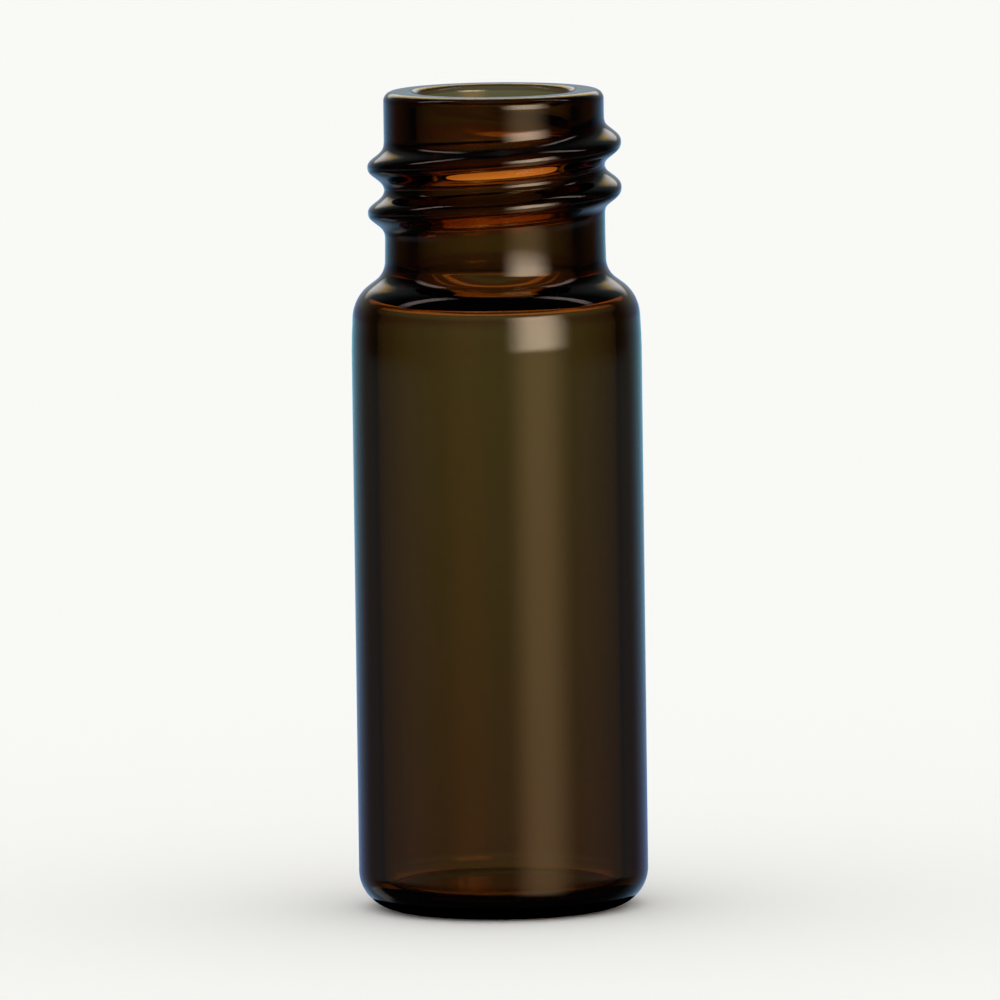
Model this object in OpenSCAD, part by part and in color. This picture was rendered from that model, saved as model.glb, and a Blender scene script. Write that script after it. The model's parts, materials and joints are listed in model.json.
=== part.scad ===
// Amber glass sample vial with a screw-thread neck, blown and formed as one piece of glass.
// The origin is the centre of the foot, where the vial stands, and +Z runs up its axis.

/* [Body] */
// Outside diameter of the straight body
body_d = 11.5; // [10.6:0.1:15]
// Height from the foot to the rim
total_h = 32.5; // [24:0.5:60]
// Thickness of the body's tube wall
wall = 1.0; // [0.7:0.05:1.3]

/* [Foot] */
// Radius of the rounded edge between the body and the foot
heel_r = 1.5; // [0.8:0.05:2]
// Width of the flat ring that the vial stands on
foot_ring_w = 0.6; // [0.4:0.05:1.2]
// Height of the shallow hollow under the foot
push_up = 0.2; // [0.1:0.05:0.5]
// Height of the inside floor above the foot ring
floor_t = 0.95; // [0.7:0.05:2]
// Radius of the inside corner between the wall and the floor
floor_corner_r = 0.5; // [0.3:0.05:1.5]

/* [Shoulder] */
// Angle between the outside flank of the shoulder and the axis, in degrees
flank_angle = 54; // [40:1:65]
// Radius of the outside curve where the body turns into the shoulder
shoulder_r = 1.65; // [0.8:0.05:2.2]
// Radius of the outside fillet at the foot of the neck
neck_fillet_r = 1; // [0.2:0.05:1.2]
// Thickness of the glass across the foot of the shoulder's flank
flank_t = 0.9; // [0.7:0.05:1.5]
// Angle between the inside flank of the shoulder and the axis, in degrees
inner_flank_angle = 64; // [45:1:70]
// Radius of the inside curve under the shoulder
inner_shoulder_r = 0.4; // [0.2:0.05:1.4]
// Radius of the inside curve where the shoulder turns into the bore
inner_fillet_r = 1; // [0.5:0.05:1.6]

/* [Neck] */
// Outside diameter of the neck, at the root of the thread
neck_d = 8.73; // [8:0.05:9.2]
// Height of the neck, from the shoulder's fillet to the rim
neck_h = 6.7; // [6:0.1:12]
// Diameter of the bore through the neck
bore_d = 6.2; // [5:0.05:6.6]
// Radius of the rim's outside edge
rim_outer_r = 0.37; // [0.15:0.01:0.4]
// Radius of the rim's inside edge
rim_inner_r = 0.3; // [0.1:0.01:0.35]

/* [Thread] */
// Height of the thread's crest above the neck
thread_h = 0.665; // [0.4:0.005:0.9]
// Rise of the right-hand thread in one turn
thread_pitch = 1.81; // [1.5:0.01:2.2]
// Distance from the rim down to the thread's last full-height crest
thread_drop = 2.1; // [1.8:0.05:2.6]
// Turns of thread at its full height
full_turns = 1.5; // [1:0.05:1.8]
// Turns over which the thread's lower end rises out of the neck
start_fade = 0.19; // [0.1:0.01:0.5]
// Turns over which its upper end fades into the neck
end_fade = 0.5; // [0.1:0.01:0.6]
// Half-width of the thread's bead, at about a third of its height
bead_half_w = 0.52; // [0.4:0.01:0.6]

/* [Hidden] */

// Facets of a full circle
$fn = 96;
// Overlap of pieces that join, and overshoot of cuts past a face
lap = 0.2;
// Colour of the amber glass
amber = [0.36, 0.2, 0.06];

body_r = body_d / 2;
inner_r = body_r - wall;
neck_r = neck_d / 2;
bore_r = bore_d / 2;
neck_wall = neck_r - bore_r;

// Share of a wall, or of the drop between two radii, that its two rounded edges may fill
round_share = 0.95;
rim_fit = min(1, round_share * neck_wall / (rim_outer_r + rim_inner_r));
rim_out = rim_outer_r * rim_fit;
rim_in = rim_inner_r * rim_fit;

// Scale that keeps a shoulder's two curves within the drop between its radii
function round_fit(drop, low_r, high_r, angle) =
    min(1, round_share * drop / ((low_r + high_r) * (1 - cos(angle))));

// Length of the straight flank between a shoulder's two curves
function flank_len(drop, low_r, high_r, angle) =
    (drop - (low_r + high_r) * (1 - cos(angle))) / sin(angle);

// Height of a shoulder, from the top of the wide wall to the foot of the narrow one
function shoulder_h(drop, low_r, high_r, angle) =
    (low_r + high_r) * sin(angle) + flank_len(drop, low_r, high_r, angle) * cos(angle);

// Outside shoulder
outer_drop = body_r - neck_r;
outer_fit = round_fit(outer_drop, shoulder_r, neck_fillet_r, flank_angle);
outer_low_r = shoulder_r * outer_fit;
outer_high_r = neck_fillet_r * outer_fit;
neck_z = total_h - neck_h;
body_top_z = neck_z - shoulder_h(outer_drop, outer_low_r, outer_high_r, flank_angle);

// Inside shoulder, set so that the foot of its flank lies flank_t inside the outer one
inner_drop = inner_r - bore_r;
inner_fit = round_fit(inner_drop, inner_shoulder_r, inner_fillet_r, inner_flank_angle);
inner_low_r = inner_shoulder_r * inner_fit;
inner_high_r = inner_fillet_r * inner_fit;
outer_flank = [body_r - outer_low_r * (1 - cos(flank_angle)), body_top_z + outer_low_r * sin(flank_angle)];
inner_flank_r = inner_r - inner_low_r * (1 - cos(inner_flank_angle));
inner_flank_z = outer_flank[1]
    + ((outer_flank[0] - inner_flank_r) * cos(flank_angle) - flank_t) / sin(flank_angle);
cavity_top_z = inner_flank_z - inner_low_r * sin(inner_flank_angle);
bore_z = cavity_top_z + shoulder_h(inner_drop, inner_low_r, inner_high_r, inner_flank_angle);

// Hollow under the foot: a shallow dome that meets the foot ring's inner edge
foot_outer_r = body_r - heel_r;
foot_inner_r = foot_outer_r - foot_ring_w;
dome_r = (foot_inner_r * foot_inner_r + push_up * push_up) / (2 * push_up);

// Thread
thread_turns = start_fade + full_turns + end_fade;
// Turn at which the thread starts, counted so that its last full-height crest is at turn 1, on the +X side
start_turn = 1 - full_turns - start_fade;
// Height of the crest at turn 0, one pitch below that last crest
crest_z0 = total_h - thread_drop - thread_pitch;
// Steps of the thread in one turn
turn_steps = 40;
thread_steps = round(thread_turns * turn_steps);
// Points across the bead, how many half-widths they reach to each side, and the share of that at its ends
bead_points = 13;
bead_reach = 1.9;
end_reach = 0.3;
// Power of the bead's bell curve
bead_power = 2.6;
// Depth inside the neck's wall of the bead's root, and of the edges of its bell curve
root_depth = 0.4 * neck_wall;
edge_depth = 0.08;

// Region under a rounded shoulder that narrows from wide_r at low_z to narrow_r
module shoulder_section(wide_r, narrow_r, low_z, low_r, high_r, angle) {
    drop = wide_r - narrow_r;
    flank = flank_len(drop, low_r, high_r, angle);
    high_z = low_z + shoulder_h(drop, low_r, high_r, angle);
    flank_low = [wide_r - low_r * (1 - cos(angle)), low_z + low_r * sin(angle)];
    flank_high = flank_low + flank * [-sin(angle), cos(angle)];
    corner_z = flank_high[1] + (flank_high[0] - narrow_r) / tan(angle);
    translate([wide_r - low_r, low_z]) circle(r = low_r);
    polygon([[0, low_z - lap], [wide_r - low_r, low_z - lap], [wide_r - low_r, low_z], flank_low,
        [narrow_r, corner_z], [0, corner_z]]);
    difference() {
        polygon([[0, corner_z - lap], [narrow_r, corner_z - lap], [narrow_r, corner_z], flank_high,
            [narrow_r + high_r, high_z], [0, high_z]]);
        translate([narrow_r + high_r, high_z]) circle(r = high_r);
    }
}

// Half section of the outside of the vial, filled to the axis
module outer_section() {
    difference() {
        intersection() {
            union() {
                translate([0, heel_r]) square([body_r, body_top_z - heel_r]);
                square([foot_outer_r, 2 * heel_r]);
                translate([foot_outer_r, heel_r]) circle(r = heel_r);
                shoulder_section(body_r, neck_r, body_top_z, outer_low_r, outer_high_r, flank_angle);
                translate([0, neck_z - lap]) square([neck_r, neck_h + lap - rim_out]);
                translate([0, neck_z]) square([neck_r - rim_out, neck_h]);
                translate([neck_r - rim_out, total_h - rim_out]) circle(r = rim_out);
            }
            square([2 * body_r, total_h]);
        }
        translate([0, push_up - dome_r]) circle(r = dome_r);
    }
}

// Half section of the hollow: cavity, inside shoulder, bore and the rim's rounded inside edge
module inner_section() {
    intersection() {
        union() {
            translate([0, floor_t]) square([inner_r - floor_corner_r, 2 * floor_corner_r]);
            translate([0, floor_t + floor_corner_r])
                square([inner_r, cavity_top_z - floor_t - floor_corner_r]);
            translate([inner_r - floor_corner_r, floor_t + floor_corner_r]) circle(r = floor_corner_r);
            shoulder_section(inner_r, bore_r, cavity_top_z, inner_low_r, inner_high_r,
                inner_flank_angle);
            translate([0, bore_z - lap]) square([bore_r, total_h - bore_z + 2 * lap]);
            difference() {
                translate([0, total_h - rim_in]) square([bore_r + rim_in, rim_in + lap]);
                translate([bore_r + rim_in, total_h - rim_in]) circle(r = rim_in);
            }
        }
        square([2 * body_r, total_h + lap]);
    }
}

// Radius of the bead's surface at the distance u from its crest line, for a share of its full height
function bead_surface(u, share) =
    neck_r - edge_depth + share * (thread_h + edge_depth) * exp(-pow(abs(u) / bead_half_w, bead_power));

// Smooth step from 0 to 1
function ease(s) = let (t = max(0, min(1, s))) t * t * (3 - 2 * t);

// Share of the full height that the thread has after a number of turns
function fade_share(turns) = ease(turns / start_fade) * ease((thread_turns - turns) / end_fade);

// Section of the bead after a number of turns: its root inside the wall, then its crest line
function bead_ring(turns) =
    let (
        angle = 360 * (start_turn + turns),
        crest_z = crest_z0 + thread_pitch * (start_turn + turns),
        share = fade_share(turns),
        reach = bead_reach * bead_half_w * (end_reach + (1 - end_reach) * sqrt(share)),
        across = [for (i = [0 : bead_points - 1]) reach * (2 * i / (bead_points - 1) - 1)],
        rounds = [for (u = across) [bead_surface(u, share), crest_z + u]],
        section = concat([[neck_r - root_depth, crest_z - reach]], rounds,
            [[neck_r - root_depth, crest_z + reach]])
    )
    [for (p = section) [p[0] * cos(angle), p[0] * sin(angle), p[1]]];

// Right-hand thread: one bead along a helix, fading into the neck at both ends
module thread_bead() {
    count = bead_points + 2;
    rings = [for (i = [0 : thread_steps]) each bead_ring(thread_turns * i / thread_steps)];
    sides = [for (i = [0 : thread_steps - 1], j = [0 : count - 1])
        let (a = i * count + j, b = i * count + (j + 1) % count) [a, b, b + count, a + count]];
    first_cap = [for (j = [count - 1 : -1 : 0]) j];
    last_cap = [for (j = [0 : count - 1]) thread_steps * count + j];
    polyhedron(points = rings, faces = concat(sides, [first_cap, last_cap]), convexity = 6);
}

// The vial: one piece of glass
module vial() {
    color(amber)
    difference() {
        union() {
            rotate_extrude() outer_section();
            thread_bead();
        }
        rotate_extrude() inner_section();
    }
}

vial();
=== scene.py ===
import json
import math

import bpy
import numpy as np
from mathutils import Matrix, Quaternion, Vector


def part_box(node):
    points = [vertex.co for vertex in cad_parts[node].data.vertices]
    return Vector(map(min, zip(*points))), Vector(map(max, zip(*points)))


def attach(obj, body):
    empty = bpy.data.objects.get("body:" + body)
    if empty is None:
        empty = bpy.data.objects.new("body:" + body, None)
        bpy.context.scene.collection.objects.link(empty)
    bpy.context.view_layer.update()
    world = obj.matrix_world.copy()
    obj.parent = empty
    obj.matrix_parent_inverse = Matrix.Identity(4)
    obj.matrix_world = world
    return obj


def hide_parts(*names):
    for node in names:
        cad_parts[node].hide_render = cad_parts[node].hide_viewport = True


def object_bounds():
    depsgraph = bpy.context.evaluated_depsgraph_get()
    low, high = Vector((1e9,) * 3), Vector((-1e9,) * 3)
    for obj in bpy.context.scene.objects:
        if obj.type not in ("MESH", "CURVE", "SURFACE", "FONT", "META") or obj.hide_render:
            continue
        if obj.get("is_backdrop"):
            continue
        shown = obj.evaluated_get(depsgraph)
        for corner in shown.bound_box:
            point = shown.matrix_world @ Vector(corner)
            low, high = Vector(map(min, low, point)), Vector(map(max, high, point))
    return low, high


# Amber glass sample vial with a screw-thread neck: one piece of glass, standing on a plain floor.
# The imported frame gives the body's width, the height and the bore; the sizes below are the vial's
# own, in millimetres, as its construction has them.
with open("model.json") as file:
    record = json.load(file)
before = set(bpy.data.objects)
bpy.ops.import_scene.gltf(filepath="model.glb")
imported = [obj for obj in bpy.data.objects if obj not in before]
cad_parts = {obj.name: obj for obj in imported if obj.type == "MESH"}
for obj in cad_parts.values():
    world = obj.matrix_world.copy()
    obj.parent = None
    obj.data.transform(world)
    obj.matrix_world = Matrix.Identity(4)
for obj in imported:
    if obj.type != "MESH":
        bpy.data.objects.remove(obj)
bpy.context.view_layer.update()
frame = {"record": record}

MM = 0.001

# Foot and floor
HEEL_R = 1.5
FOOT_RING_W = 0.6
PUSH_UP = 0.2
FLOOR_T = 0.95
FLOOR_CORNER_R = 0.5
# Wall and shoulder
WALL = 1.0
FLANK_DEG = 54.0
SHOULDER_R = 1.65
NECK_FILLET_R = 1.0
FLANK_T = 0.9
INNER_FLANK_DEG = 64.0
INNER_SHOULDER_R = 0.4
INNER_FILLET_R = 1.0
# Neck and rim
NECK_R = 4.365
NECK_H = 6.7
RIM_OUTER_R = 0.37
RIM_INNER_R = 0.3
# Thread: a right-hand rounded bead whose last full-height crest lies on the +X side
THREAD_H = 0.665
THREAD_PITCH = 1.81
THREAD_DROP = 2.1
FULL_TURNS = 1.5
START_FADE = 0.19
END_FADE = 0.5
BEAD_HALF_W = 0.52
BEAD_POWER = 2.6
# How the flame drew the glass: the body leans in by its top, and the neck flares out at its foot
TAPER_IN = 0.045
TAPER_H = 1.1
FLARE_OUT = 0.018
FLARE_H = 1.0
DRAWN_POWER = 1.4
# Columns of the turned surface round the axis
AROUND = 256

# Colour that the amber glass lets through, and how fast it takes the rest, per metre
AMBER = "#CEA628"
AMBER_DENSITY = 2350.0
GLASS_IOR = 1.52
# Draw lines along the tube, about 0.35 mm apart, and the flame's ripple, about 2 mm from crest to
# crest: how many to a metre, and how deep in metres
DRAW_LINES_PER_M = 2800
DRAW_LENGTHS_PER_M = 60
DRAW_DEPTH = 0.0000006
RIPPLES_PER_M = 500.0
RIPPLE_DEPTH = 0.000004
BUMP_STRENGTH = 0.5

# Studio: the floor, and the painted surround that the glass shows, in metres
FLOOR_R = 2.5
FLOOR_CORNERS = 96
FLOOR_WHITE = "#FEFEFD"
ROOM_WHITE = "#FAFAF8"
SURROUND_R = 0.28
SURROUND_POINTS = 361
# Black disc of painted shade under the foot, seen only in the glass, in millimetres
FOOT_SHADOW_R = 5.5
FOOT_SHADOW_DROP = 0.02
FOOT_SHADOW_CORNERS = 64

# Backdrop from the bottom up, as height in millimetres above the foot and colour there: dark table,
# its pale blue far end, blue paper that is palest level with the foot, then plain grey wall
BACKDROP = ((-200, "#303034"), (-90, "#88B0D0"), (-34, "#84A0D4"), (-3, "#94DAF4"),
            (20, "#98A8DC"), (62, "#A0B0B0"), (280, "#585858"))
# How far the backdrop reaches from straight behind, and over how much of that it fades, in degrees
BACKDROP_EDGE = 62
BACKDROP_FADE = 60

# Light on the surround as linear radiance, which may go past white. Each light's soft edges are given
# as start, full, fade and end. A height is in millimetres above the foot. Round the vial it is in
# degrees: the softbox's from the camera's side, and the others' from straight behind.
DARK_ROOM = 0.012
SOFTBOX = (7.5, 5.9, 4.2)
SOFTBOX_ROUND = (4, 30, 36, 64)
SOFTBOX_HEIGHT = (9, 15, 140, 160)
SOFTBOX_ON_TABLE = (1.1, 0.75, 0.38)
ON_TABLE_HEIGHT = (-200, -140, 9, 15)
SIDE_WALLS = (0.08, 0.095, 0.105)
WALLS_ROUND = (46, 66, 100, 140)
WALLS_HEIGHT = (-60, -40, -8, 4)
TABLE_SIDE = (0.28, 0.25, 0.22)
TABLE_ROUND = (32, 42, 50, 60)
TABLE_HEIGHT = (-175, -145, -100, -80)
# Overhead strips: edges as shares of the surround's radius, to the back and to either side
OVERHEAD = (1.6, 1.3, 1.25)
STRIP_DEPTH = (0.03, 0.08, 0.15, 0.20)
STRIP_SIDE = (0.22, 0.42, 0.66, 0.80)
# Lamp behind and above, neutral low down and warm towards its top
LAMP = (1.40, 1.23, 1.15)
LAMP_TOP = (2.0, 1.3, 0.35)
LAMP_HEIGHT = (78, 98, 185, 240)
LAMP_EDGE = 34
LAMP_FADE = 16
WARM_FROM = 126
WARM_OVER = 20

# Camera: lens and sensor in millimetres, distance in metres, angles in degrees, and the point that
# it looks at in millimetres
LENS = 571.8
SENSOR_W = 36.0
EYE_DISTANCE = 0.63
EYE_LIFT_DEG = 6.07
EYE_ROLL_DEG = 0.76
AIM_X = 0.05
AIM_Z = 16.2


def ease(share):
    """Smooth step: 3 t squared less 2 t cubed, with t held between 0 and 1."""
    t = np.clip(share, 0, 1)
    return t * t * (3 - 2 * t)


# ---------------------------------------------------------------- the turned surface of the glass

def mounts():
    """The record's mounts by name."""
    return {mount["name"]: mount for mount in frame["record"]["mounts"]}


def vial_sizes():
    """Body radius, height and bore radius in millimetres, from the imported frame."""
    low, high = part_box("vial")
    body_r = (high[0] - low[0]) / 2 / MM
    total_h = (high[2] - low[2]) / MM
    bore_r = mounts()["neck_bore"]["dims"]["r_mm"]
    return body_r, total_h, bore_r


def straight(start, end, steps):
    """A straight stretch: start plus an even share of the way to end, without the end point."""
    share = np.arange(steps)[:, None] / steps
    return np.array(start) + share * (np.array(end) - np.array(start))


def arc(centre, radius, from_deg, to_deg, steps):
    """A round stretch: centre plus radius at angles that go evenly between the two, without the last."""
    angle = np.radians(from_deg + (to_deg - from_deg) * np.arange(steps) / steps)
    return np.array(centre) + radius * np.column_stack([np.cos(angle), np.sin(angle)])


def flank_ends(wide_r, narrow_r, low_z, low_r, high_r, lean_deg):
    """Both ends of a shoulder's straight flank, and the height where the narrow wall starts.

    The flank leans lean_deg from the axis and is tangent to a low and a high round."""
    lean = math.radians(lean_deg)
    drop = wide_r - narrow_r
    length = (drop - (low_r + high_r) * (1 - math.cos(lean))) / math.sin(lean)
    low_end = (wide_r - low_r * (1 - math.cos(lean)), low_z + low_r * math.sin(lean))
    high_end = (low_end[0] - length * math.sin(lean), low_end[1] + length * math.cos(lean))
    return low_end, high_end, high_end[1] + high_r * math.sin(lean)


def flame_drawn(height, top_z, neck_z):
    """How far the flame moved the outside, in millimetres, at a height.

    Up to the body's top the glass leans in by a power of the way covered, and down to the neck's foot
    it flares out by the same power. Across the shoulder between them each of the two eases away."""
    rise = np.clip((height - top_z) / TAPER_H + 1, 0, 1)
    fall = np.clip((neck_z - height) / FLARE_H + 1, 0, 1)
    share = ease((height - top_z) / (neck_z - top_z))
    return FLARE_OUT * fall ** DRAWN_POWER * share - TAPER_IN * rise ** DRAWN_POWER * (1 - share)


def foot_section(body_r):
    """The hollow under the foot, the ring it stands on and the heel, up to the straight body."""
    foot_r = body_r - HEEL_R
    ring_r = foot_r - FOOT_RING_W
    dome_r = (ring_r ** 2 + PUSH_UP ** 2) / (2 * PUSH_UP)
    dome_deg = math.degrees(math.asin(ring_r / dome_r))
    return np.vstack([
        arc((0, PUSH_UP - dome_r), dome_r, 90, 90 - dome_deg, 10),
        straight((ring_r, 0), (foot_r, 0), 3),
        arc((foot_r, HEEL_R), HEEL_R, -90, 0, 18),
    ])


def rim_section(total_h, bore_r):
    """The rim: its outside edge, its flat and its inside edge, down to the bore."""
    return np.vstack([
        arc((NECK_R - RIM_OUTER_R, total_h - RIM_OUTER_R), RIM_OUTER_R, 0, 90, 10),
        straight((NECK_R - RIM_OUTER_R, total_h), (bore_r + RIM_INNER_R, total_h), 4),
        arc((bore_r + RIM_INNER_R, total_h - RIM_INNER_R), RIM_INNER_R, 90, 180, 10),
    ])


def hollow_section(inner_r, total_h, bore_r, flank_low):
    """The bore, the inside shoulder, the hollow's wall and its floor, to the middle of the floor.

    The foot of the inside flank lies FLANK_T inside the outer flank, whose foot is flank_low."""
    lean, in_lean = math.radians(FLANK_DEG), math.radians(INNER_FLANK_DEG)
    in_low_r = inner_r - INNER_SHOULDER_R * (1 - math.cos(in_lean))
    in_low_z = flank_low[1] + ((flank_low[0] - in_low_r) * math.cos(lean) - FLANK_T) / math.sin(lean)
    cavity_z = in_low_z - INNER_SHOULDER_R * math.sin(in_lean)
    in_low, in_high, bore_z = flank_ends(inner_r, bore_r, cavity_z, INNER_SHOULDER_R, INNER_FILLET_R,
                                         INNER_FLANK_DEG)
    return np.vstack([
        straight((bore_r, total_h - RIM_INNER_R), (bore_r, bore_z), 24),
        arc((bore_r + INNER_FILLET_R, bore_z), INNER_FILLET_R, 180, 180 + INNER_FLANK_DEG, 12),
        straight(in_high, in_low, 6),
        arc((inner_r - INNER_SHOULDER_R, cavity_z), INNER_SHOULDER_R, INNER_FLANK_DEG, 0, 12),
        straight((inner_r, cavity_z), (inner_r, FLOOR_T + FLOOR_CORNER_R), 24),
        arc((inner_r - FLOOR_CORNER_R, FLOOR_T + FLOOR_CORNER_R), FLOOR_CORNER_R, 0, -90, 14),
        straight((inner_r - FLOOR_CORNER_R, FLOOR_T), (0, FLOOR_T), 8),
        np.array([[0, FLOOR_T]]),
    ])


def vial_profile():
    """Half section of the glass as (radius, height) rows in millimetres, and which rows are the neck.

    It runs from the middle of the foot outwards, up the outside, over the rim and down the inside
    to the middle of the floor, as straight stretches and tangent arcs. The last number of each
    stretch is its count of steps."""
    body_r, total_h, bore_r = vial_sizes()
    neck_z = total_h - NECK_H
    top_z = neck_z - flank_ends(body_r, NECK_R, 0, SHOULDER_R, NECK_FILLET_R, FLANK_DEG)[2]
    flank_low, flank_high, _ = flank_ends(body_r, NECK_R, top_z, SHOULDER_R, NECK_FILLET_R, FLANK_DEG)
    foot = foot_section(body_r)
    body = np.vstack([
        straight((body_r, HEEL_R), (body_r, top_z), 36),
        arc((body_r - SHOULDER_R, top_z), SHOULDER_R, 0, FLANK_DEG, 16),
        straight(flank_low, flank_high, 6),
        arc((NECK_R + NECK_FILLET_R, neck_z), NECK_FILLET_R, 180 + FLANK_DEG, 180, 12),
    ])
    neck = straight((NECK_R, neck_z), (NECK_R, total_h - RIM_OUTER_R), 92)
    for stretch in (body, neck):
        stretch[:, 0] += flame_drawn(stretch[:, 1], top_z, neck_z)
    rim = rim_section(total_h, bore_r)
    hollow = hollow_section(body_r - WALL, total_h, bore_r, flank_low)
    first = len(foot) + len(body)
    return np.vstack([foot, body, neck, rim, hollow]), slice(first, first + len(neck))


def bead_height(turn_share, height, total_h):
    """Height of the thread above the neck, at a share of a turn round and a height up, in millimetres.

    Each turn's crest line rises one pitch a turn. Across it the bead is a flattened bell,
    exp(-(distance / half-width) ^ power), and along it the ends ease down into the neck."""
    first_turn = 1 - FULL_TURNS - START_FADE
    last_turn = 1 + END_FADE
    crest_z0 = total_h - THREAD_DROP - THREAD_PITCH
    bead = np.zeros(np.broadcast(turn_share, height).shape)
    for whole_turns in (-1, 0, 1):
        turn = turn_share + whole_turns
        off_crest = np.abs(height - crest_z0 - THREAD_PITCH * turn) / BEAD_HALF_W
        fade = ease((turn - first_turn) / START_FADE) * ease((last_turn - turn) / END_FADE)
        bead = np.maximum(bead, THREAD_H * fade * np.exp(-off_crest ** BEAD_POWER))
    return bead


def turned_glass(name):
    """One closed surface: the half section carried round the axis, with the thread's bead on the neck.

    Point (row, column) lies at the row's radius, plus the bead's height on the neck's rows, turned
    by the column's share of a full circle. The first and last rows are single points on the axis."""
    profile, neck_rows = vial_profile()
    total_h = vial_sizes()[1]
    rows = profile[1:-1]
    turn_share = np.arange(AROUND)[None, :] / AROUND
    radius = np.repeat(rows[:, :1], AROUND, axis=1)
    height = np.repeat(rows[:, 1:], AROUND, axis=1)
    neck = slice(neck_rows.start - 1, neck_rows.stop - 1)
    radius[neck] += bead_height(turn_share, height[neck], total_h)
    angle = 2 * math.pi * turn_share
    grid = np.stack([radius * np.cos(angle), radius * np.sin(angle), height], axis=2)
    ends = np.array([[0, 0, profile[0, 1]], [0, 0, profile[-1, 1]]])
    points = np.vstack([grid.reshape(-1, 3), ends]) * MM

    row_count = len(rows)
    index = np.arange(row_count * AROUND).reshape(row_count, AROUND)
    beside = np.roll(index, -1, axis=1)
    quads = np.stack([index[:-1], beside[:-1], beside[1:], index[1:]], axis=2).reshape(-1, 4)
    foot_pole = np.full(AROUND, row_count * AROUND)
    floor_pole = foot_pole + 1
    foot_fan = np.column_stack([foot_pole, beside[0], index[0]])
    floor_fan = np.column_stack([index[-1], beside[-1], floor_pole])
    return smooth_object(name, points, quads.tolist() + foot_fan.tolist() + floor_fan.tolist())


def smooth_object(name, points, faces):
    """An object in the scene with smooth faces, at the origin, from points in metres."""
    mesh = bpy.data.meshes.new(name)
    mesh.from_pydata(points.tolist(), [], faces)
    mesh.polygons.foreach_set("use_smooth", np.ones(len(mesh.polygons), dtype=bool))
    mesh.update()
    piece = bpy.data.objects.new(name, mesh)
    bpy.context.scene.collection.objects.link(piece)
    return piece


# ---------------------------------------------------------------- materials

def linear(hex_colour):
    """An sRGB hex colour as a linear RGBA tuple."""
    values = [int(hex_colour[i:i + 2], 16) / 255 for i in (1, 3, 5)]
    light = [v / 12.92 if v <= 0.04045 else ((v + 0.055) / 1.055) ** 2.4 for v in values]
    return (*light, 1.0)


def new_material(name):
    """An empty node material and its tree."""
    material = bpy.data.materials.new(name)
    material.use_nodes = True
    material.node_tree.nodes.clear()
    return material, material.node_tree


def add(tree, kind, settings=None, links=None, **sockets):
    """Add a node: settings are its properties, links join its inputs, sockets set plain input values."""
    node = tree.nodes.new(kind)
    for key, value in (settings or {}).items():
        setattr(node, key, value)
    for key, value in sockets.items():
        node.inputs[key.replace("_", " ")].default_value = value
    for key, output in (links or {}).items():
        tree.links.new(output, node.inputs[key])
    return node


def amber_glass():
    """Amber borosilicate glass, drawn as tube, then flame-formed and fire-polished at neck and foot.

    The eye gets a clear dark brown that deepens with the thickness looked through, a wet gloss, and
    reflections that waver a little: faint lines along the draw, and a soft ripple from the flame."""
    material, tree = new_material("amber borosilicate glass, fire-polished")
    place = add(tree, "ShaderNodeTexCoord").outputs["Object"]
    draw_scale = add(tree, "ShaderNodeMapping", links={"Vector": place},
                     Scale=(DRAW_LINES_PER_M, DRAW_LINES_PER_M, DRAW_LENGTHS_PER_M))
    draw_lines = add(tree, "ShaderNodeTexNoise", links={"Vector": draw_scale.outputs["Vector"]},
                     Scale=1.0, Detail=2.0, Roughness=0.5)
    ripple = add(tree, "ShaderNodeTexNoise", links={"Vector": place}, Scale=RIPPLES_PER_M, Detail=1.0)
    draw_bump = add(tree, "ShaderNodeBump", links={"Height": draw_lines.outputs["Fac"]},
                    Strength=BUMP_STRENGTH, Distance=DRAW_DEPTH)
    ripple_bump = add(tree, "ShaderNodeBump", links={"Height": ripple.outputs["Fac"],
                      "Normal": draw_bump.outputs["Normal"]},
                      Strength=BUMP_STRENGTH, Distance=RIPPLE_DEPTH)
    surface = add(tree, "ShaderNodeBsdfPrincipled", links={"Normal": ripple_bump.outputs["Normal"]},
                  Roughness=0.0, IOR=GLASS_IOR, Transmission_Weight=1.0, Base_Color=(1, 1, 1, 1))
    absorb = add(tree, "ShaderNodeVolumeAbsorption", Color=linear(AMBER), Density=AMBER_DENSITY)
    add(tree, "ShaderNodeOutputMaterial", links={"Surface": surface.outputs["BSDF"],
        "Volume": absorb.outputs["Volume"]})
    return material


def matt_sheet(name, colour):
    """A matt sheet of one colour: the eye gets no shine from it. The floor's paper uses it, and so does
    the black disc of painted shade under the foot.
    """
    material, tree = new_material(name)
    surface = add(tree, "ShaderNodeBsdfDiffuse", Color=colour)
    add(tree, "ShaderNodeOutputMaterial", links={"Surface": surface.outputs["BSDF"]})
    return material


def glow():
    """A surface that gives off the light painted on it."""
    material, tree = new_material("painted studio light")
    paint = add(tree, "ShaderNodeAttribute", {"attribute_name": "light"})
    light = add(tree, "ShaderNodeEmission", links={"Color": paint.outputs["Color"]})
    add(tree, "ShaderNodeOutputMaterial", links={"Surface": light.outputs["Emission"]})
    material.cycles.emission_sampling = "NONE"
    return material


# ---------------------------------------------------------------- stage, light and camera

def hump(value, edges):
    """A soft-edged share: it eases up from start to full, and down from fade to end."""
    start, full, fade, end = edges
    return ease((value - start) / (full - start)) * ease((end - value) / (end - fade))


def lit(share, colour):
    """A colour of light, dimmed by a share at each point."""
    return share[..., None] * np.array(colour)


def backdrop_light(behind, height):
    """The backdrop's colours, each blended into the next by height, fading away to both sides."""
    heights = [stop for stop, _ in BACKDROP]
    colours = np.array([linear(colour)[:3] for _, colour in BACKDROP])
    graded = np.stack([np.interp(height, heights, colours[:, i]) for i in range(3)], axis=-1)
    return graded * ease((BACKDROP_EDGE - behind) / BACKDROP_FADE)[..., None]


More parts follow.
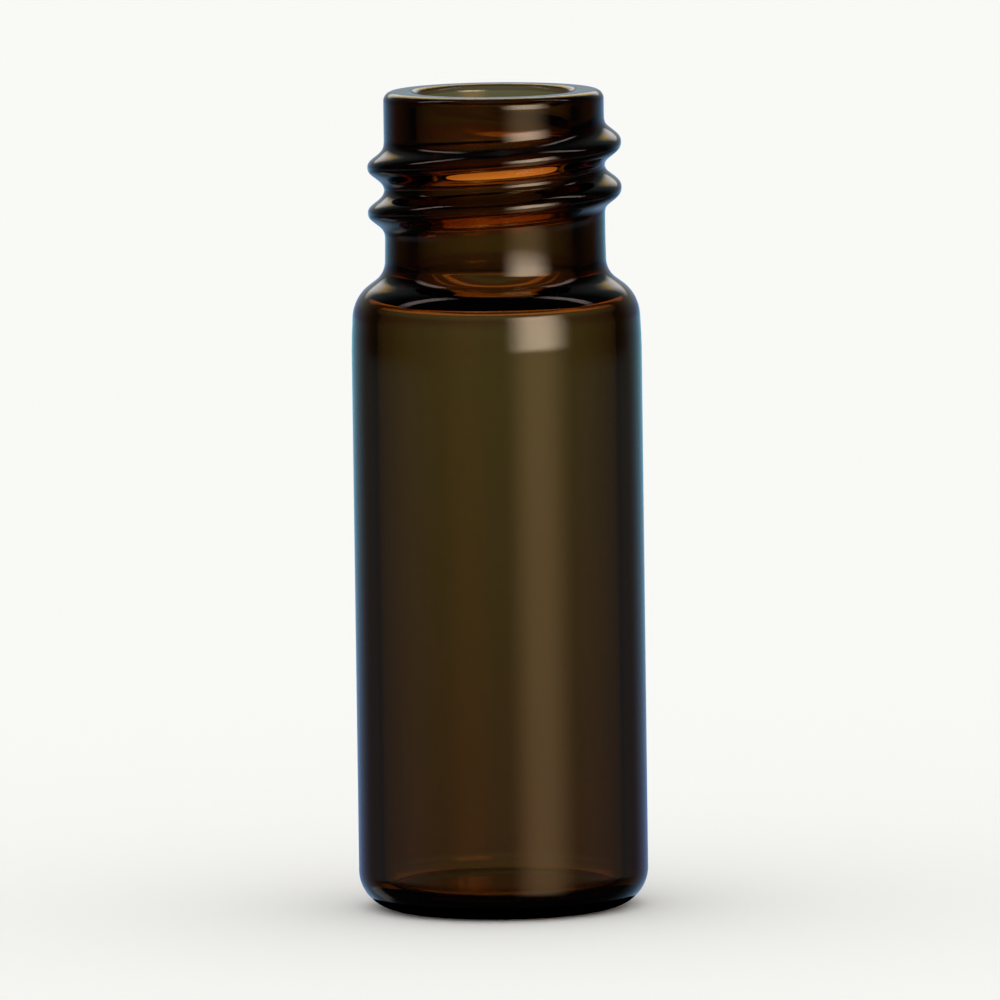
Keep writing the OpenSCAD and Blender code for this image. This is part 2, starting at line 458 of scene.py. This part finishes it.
def lamp_light(behind, height):
    """The lamp behind and above, which turns from neutral to warm towards its top."""
    warm = ease((height - WARM_FROM) / WARM_OVER)[..., None]
    colour = np.array(LAMP) + warm * (np.array(LAMP_TOP) - np.array(LAMP))
    return colour * (ease((LAMP_EDGE - behind) / LAMP_FADE) * hump(height, LAMP_HEIGHT))[..., None]


def overhead_light(azimuth, lift):
    """Two strips overhead, a little towards the back, one to each side."""
    depth = -np.cos(np.radians(azimuth)) * np.cos(np.radians(lift))
    side = np.abs(np.sin(np.radians(azimuth)) * np.cos(np.radians(lift)))
    return lit(hump(depth, STRIP_DEPTH) * hump(side, STRIP_SIDE) * (lift > 0), OVERHEAD)


def studio_light(azimuth, lift, height):
    """Light that the glass mirrors and lets through, by the direction that it comes from.

    Azimuth and lift are in degrees, with azimuth 0 at the camera's side, and height is in millimetres.
    Behind the vial stands a graded blue backdrop, with a lamp above it. In front on the right hangs a
    warm softbox, with its dim image on the dark table under it. The side walls are dim, two strips
    are overhead, and a patch of the table is lit on the left towards the back."""
    from_back = (azimuth % 360) - 180
    behind = np.abs(from_back)
    across = hump(azimuth, SOFTBOX_ROUND)
    softbox = lit(across * hump(height, SOFTBOX_HEIGHT), SOFTBOX)
    on_table = lit(across * hump(height, ON_TABLE_HEIGHT), SOFTBOX_ON_TABLE)
    walls = lit(hump(behind, WALLS_ROUND) * hump(height, WALLS_HEIGHT), SIDE_WALLS)
    table = lit(hump(from_back, TABLE_ROUND) * hump(height, TABLE_HEIGHT), TABLE_SIDE)
    return (DARK_ROOM + backdrop_light(behind, height) + softbox + on_table
            + overhead_light(azimuth, lift) + walls + lamp_light(behind, height) + table)


def shown_only_in_glass(piece):
    """Hide a stage piece from the camera and from what the floor receives."""
    piece.visible_camera = False
    piece.visible_diffuse = False
    piece.visible_shadow = False


def studio_surround():
    """A sphere round the vial, painted with the studio's light on a grid of azimuths and elevations."""
    azimuth = np.linspace(-180, 180, SURROUND_POINTS)[None, :]
    lift = np.linspace(-90, 90, SURROUND_POINTS)[:, None]
    across, up = np.radians(azimuth), np.radians(lift)
    x = SURROUND_R * np.cos(up) * np.sin(across)
    y = -SURROUND_R * np.cos(up) * np.cos(across)
    z = SURROUND_R * np.sin(up) * np.ones_like(across)
    light = studio_light(azimuth, lift, z / MM)
    index = np.arange(x.size).reshape(x.shape)
    quads = np.stack([index[:-1, :-1], index[1:, :-1], index[1:, 1:], index[:-1, 1:]], axis=2)
    points = np.stack([x, y, z], axis=2).reshape(-1, 3)
    surround = smooth_object("studio_surround", points, quads.reshape(-1, 4).tolist())
    paint = surround.data.attributes.new("light", "FLOAT_COLOR", "POINT")
    painted = np.concatenate([light, np.ones(x.shape + (1,))], axis=-1)
    paint.data.foreach_set("color", painted.astype(np.float32).ravel())
    surround.data.materials.append(glow())
    shown_only_in_glass(surround)
    surround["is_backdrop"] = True


def flat_disc(name, radius, height, corners, material):
    """A flat round sheet at a height, with a number of corners round it, in metres: the floor's paper,
    and the black disc of painted shade under the foot.
    """
    angle = 2 * math.pi * np.arange(corners) / corners
    edge = np.column_stack([np.cos(angle), np.sin(angle), np.zeros(corners)]) * radius
    mesh = bpy.data.meshes.new(name)
    mesh.from_pydata(edge.tolist(), [], [list(range(corners))])
    mesh.materials.append(material)
    disc = bpy.data.objects.new(name, mesh)
    disc.location.z = height
    bpy.context.scene.collection.objects.link(disc)
    return disc


def foot_shadow():
    """A black disc under the foot, seen only in the glass: painted shade that stands for the dark
    contact under the vial, and keeps the light below out of the heel.
    """
    # Painted shade: a black sheet stands for the dark contact under the vial
    disc = flat_disc("foot_shadow", FOOT_SHADOW_R * MM, -FOOT_SHADOW_DROP * MM, FOOT_SHADOW_CORNERS,
                      matt_sheet("black paper", (0, 0, 0, 1)))
    shown_only_in_glass(disc)
    disc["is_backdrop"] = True


def studio_floor():
    """A flat round sheet of pale paper, which the glass neither mirrors nor lets through."""
    floor = flat_disc("studio_floor", FLOOR_R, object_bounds()[0][2], FLOOR_CORNERS,
                       matt_sheet("pale studio paper", linear(FLOOR_WHITE)))
    floor.visible_transmission = False
    floor.visible_glossy = False
    floor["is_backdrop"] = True


def studio_world():
    """Even pale light from all round."""
    world = bpy.data.worlds.new("studio")
    bpy.context.scene.world = world
    world.use_nodes = True
    world.node_tree.nodes.clear()
    tree = world.node_tree
    back = add(tree, "ShaderNodeBackground", Color=linear(ROOM_WHITE), Strength=1.0)
    add(tree, "ShaderNodeOutputWorld", links={"Surface": back.outputs["Background"]})


def camera():
    """A long lens a little above the vial, rolled a touch so that the vial's top leans to the left."""
    lift = math.radians(EYE_LIFT_DEG)
    away = Vector((0, -math.cos(lift), math.sin(lift)))
    data = bpy.data.cameras.new("camera")
    data.lens = LENS
    data.sensor_width = SENSOR_W
    eye = bpy.data.objects.new("camera", data)
    eye.location = Vector((AIM_X * MM, 0, AIM_Z * MM)) + EYE_DISTANCE * away
    eye.rotation_mode = "QUATERNION"
    roll = Quaternion((0, 0, 1), -math.radians(EYE_ROLL_DEG))
    eye.rotation_quaternion = (-away).to_track_quat("-Z", "Y") @ roll
    bpy.context.scene.collection.objects.link(eye)
    bpy.context.scene.camera = eye


camera()
studio_world()
studio_floor()
studio_surround()
foot_shadow()

vial = turned_glass("vial_glass")
vial.data.materials.append(amber_glass())
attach(vial, "root")
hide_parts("vial")

bpy.context.scene.view_settings.view_transform = "Standard"
